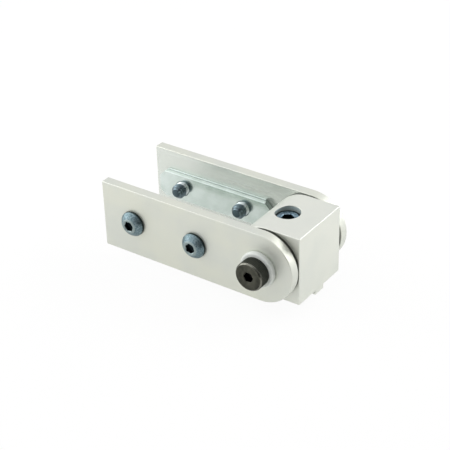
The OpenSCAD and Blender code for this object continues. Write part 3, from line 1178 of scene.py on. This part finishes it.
def button_screw():
    """One screw, its head on z = 0."""
    rise = button_h - button_rim
    fall = button_r ** 2 - button_flat_r ** 2
    dome_r = math.hypot(button_r, (fall - rise ** 2) / (2 * rise))
    dome_z = button_rim - math.sqrt(dome_r ** 2 - button_r ** 2)
    start = math.atan2(button_rim - dome_z, button_r)
    end = math.atan2(button_h - dome_z, button_flat_r)
    angles = [start + (end - start) * step / dome_steps for step in range(1, dome_steps)]
    dome = [(dome_r * math.cos(a), dome_z + dome_r * math.sin(a), 0) for a in angles]
    section = outline([
        (0, 0, 0), (button_r, 0, button_foot_round), (button_r, button_rim, button_rim_round), *dome,
        (button_flat_r, button_h, button_top_round), (0, button_h, 0),
    ])
    head = turned("button", section, screw_zinc)
    hex_socket(head, button_key, button_h)
    # The rim mask darkens the straight rim in the finish, as painted shade.
    paint_mask(head, "rim", lambda at: at.z < button_rim)
    paint_mask(head, "edge", lambda at: at.z > button_h - button_edge)
    turning = head.data.attributes.new("turning", "FLOAT", "POINT")
    for point in head.data.vertices:
        turning.data[point.index].value = off_axis(point.co)
    shade(head)
    return joined("button_screw", [head, thread(shank_l, screw_zinc, dark_tip_l)])


screw = button_screw()
print("button screw:", len(screw.data.polygons), "faces, shank", round(shank_l / mm, 1), "mm")

# %% [markdown]
# ## Setting the screws out
# The screws are all alike, so a second tree sets copies of the finished one out along the arm. Each is
# turned by a random amount, because no two screws are ever tightened to the same angle. The seed is fixed,
# so that every run gives the same angles.

# %% Setting the screws out
def row_tree():
    tree, bench, given = tree_with_inputs("row_of_screws", {
        "Geometry": "Geometry", "Count": "Int", "First": "Vector", "Step": "Vector", "Lean": "Float",
        "Seed": "Int", "Finish": "Material",
    })
    places = bench.node("GeometryNodeMeshLine", None, {
        "Count": given["Count"], "Start Location": given["First"], "Offset": given["Step"],
    })
    spin = bench.node("FunctionNodeRandomValue", {"data_type": "FLOAT"}, {
        "Min": 0.0, "Max": math.pi / 3, "Seed": given["Seed"],
    })
    upright = bench.node("FunctionNodeEulerToRotation", None, {0: bench.vector(X=given["Lean"])})
    own_turn = bench.node("FunctionNodeEulerToRotation", None, {0: bench.vector(Z=spin)})
    facing = bench.node("FunctionNodeRotateRotation", {"rotation_space": "LOCAL"}, {
        "Rotation": upright, "Rotate By": own_turn,
    })
    placed = bench.node("GeometryNodeInstanceOnPoints", None, {
        "Points": places, "Instance": given["Geometry"], "Rotation": facing,
    })
    end_tree(bench, placed, given["Finish"])
    return tree


screw_seeds = {"near": 4, "far": 9}
row_of_screws = row_tree()
for side, seed in screw_seeds.items():
    pair = grown(f"{side}_button_screws", row_of_screws, {
        "Count": len(screw_x), "First": (screw_x[0], sides[side] * arm_outer, pivot_z),
        "Step": (screw_x[1] - screw_x[0], 0.0, 0.0), "Lean": -sides[side] * math.pi / 2,
        "Seed": seed, "Finish": screw_zinc,
    }, screw.data.copy())
    hand_over(pair, f"{side}_leaf", "blue_zinc_steel", f"{side}_front_screw", f"{side}_rear_screw")
bpy.data.objects.remove(screw)

# %% [markdown]
# ## Cap heads
# A cap head is a tall cylinder with a straight knurl, for turning it by hand before the key goes in. It is
# the ridged rod again, with its ridges along the axis, and a socket carved into its top.

# %% Cap heads
knurl_depth = 0.22 * mm
ridges_round_head = 56
points_per_ridge = 4
head_point_gap = 0.2 * mm
foot_bevel = 0.2 * mm
head_crease = math.radians(30)


def cap_head(name, radius, height, bevel, key, finish, bevel_mask="edge", turn=0.0):
    """A knurled head on z = 0 with a hexagon socket. bevel_mask is the mask that its bevel gets."""
    head = grown(name, ridged_rod, {
        "Radius": radius, "Length": height, "Ridge depth": knurl_depth, "Ridges along": 0.0,
        "Ridges around": float(ridges_round_head), "Low bevel": foot_bevel, "Low bevel length": foot_bevel,
        "High bevel": bevel, "Dark length": 0.0, "Points around": points_per_ridge * ridges_round_head,
        "Points along": round(height / head_point_gap), "Finish": finish,
    })
    head.data.attributes.remove(head.data.attributes["thread"])
    hex_socket(head, key, height, turn)
    bevel_z = height - bevel
    # The rim mask darkens the knurled side in the finishes, as painted shade.
    paint_mask(head, "rim", lambda at: at.z < bevel_z and off_axis(at) > 0.9 * radius)
    paint_mask(head, bevel_mask, lambda at: at.z > bevel_z and off_axis(at) > radius - bevel)
    return shade(head, head_crease)


print("a head has", ridges_round_head, "ridges")

# %% [markdown]
# ## The pivot screws
# The arms swing on shoulder screws: a ground shoulder that the bush runs on, a knurled head and a thread in
# the block. The shoulder and the narrow relief between it and the thread are turned in one piece and joined
# to the head.

# %% Pivot screws
pivot_low, pivot_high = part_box("far_pivot_screw")
pivot_head_r = pivot_high.x
pivot_head_h = 7 * mm
pivot_bevel = 0.8 * mm
pivot_key = 5 * mm
shoulder_r = 5 * mm
shoulder_edge = 0.2 * mm
shoulder_l = pivot_high.y - pivot_head_h - block_half
pivot_thread_l = block_half - pivot_low.y
relief_l = 1.5 * mm
relief_depth = 0.8 * mm
relief_r = thread_r - relief_depth
into_head = 0.3 * mm

for side in sides:
    head = cap_head("head", pivot_head_r, pivot_head_h, pivot_bevel, pivot_key, pivot_black)
    stem = shade(turned("stem", outline([
        (0, -shoulder_l - relief_l, 0), (relief_r, -shoulder_l - relief_l, 0), (relief_r, -shoulder_l, 0),
        (shoulder_r, -shoulder_l, shoulder_edge), (shoulder_r, into_head, 0), (0, into_head, 0),
    ]), pivot_black))
    rod = thread(pivot_thread_l - relief_l, pivot_black)
    rod.data.transform(Matrix.Translation((0, 0, -shoulder_l - relief_l)))
    pivot = joined(f"{side}_shoulder_screw", [head, stem, rod])
    pivot.data.transform(standing(side, 0, block_half + shoulder_l))
    hand_over(pivot, "base", "black_oxide_steel", f"{side}_pivot_screw")

# %% [markdown]
# ## The fixing screw
# The block is held by one socket cap screw, sunk in the counterbore. It is the same head and thread again,
# in pale blue zinc.

# %% Fixing screw
cap_key = 6 * mm
cap_bevel = 0.9 * mm
cap_turn = math.radians(36)
head = cap_head("head", cap_r, cap_h, cap_bevel, cap_key, fixing_zinc, "rim", cap_turn)
fixing = joined("fixing_screw", [head, thread(seat_z - cap_low.z, fixing_zinc)])
fixing.data.transform(Matrix.Translation((0, 0, seat_z)))
hand_over(fixing, "base", "blue_zinc_steel", "base_screw")

# %% [markdown]
# ## Hand-over
# Every dressed piece now rides on its body in place of the CAD nodes that it stands for.
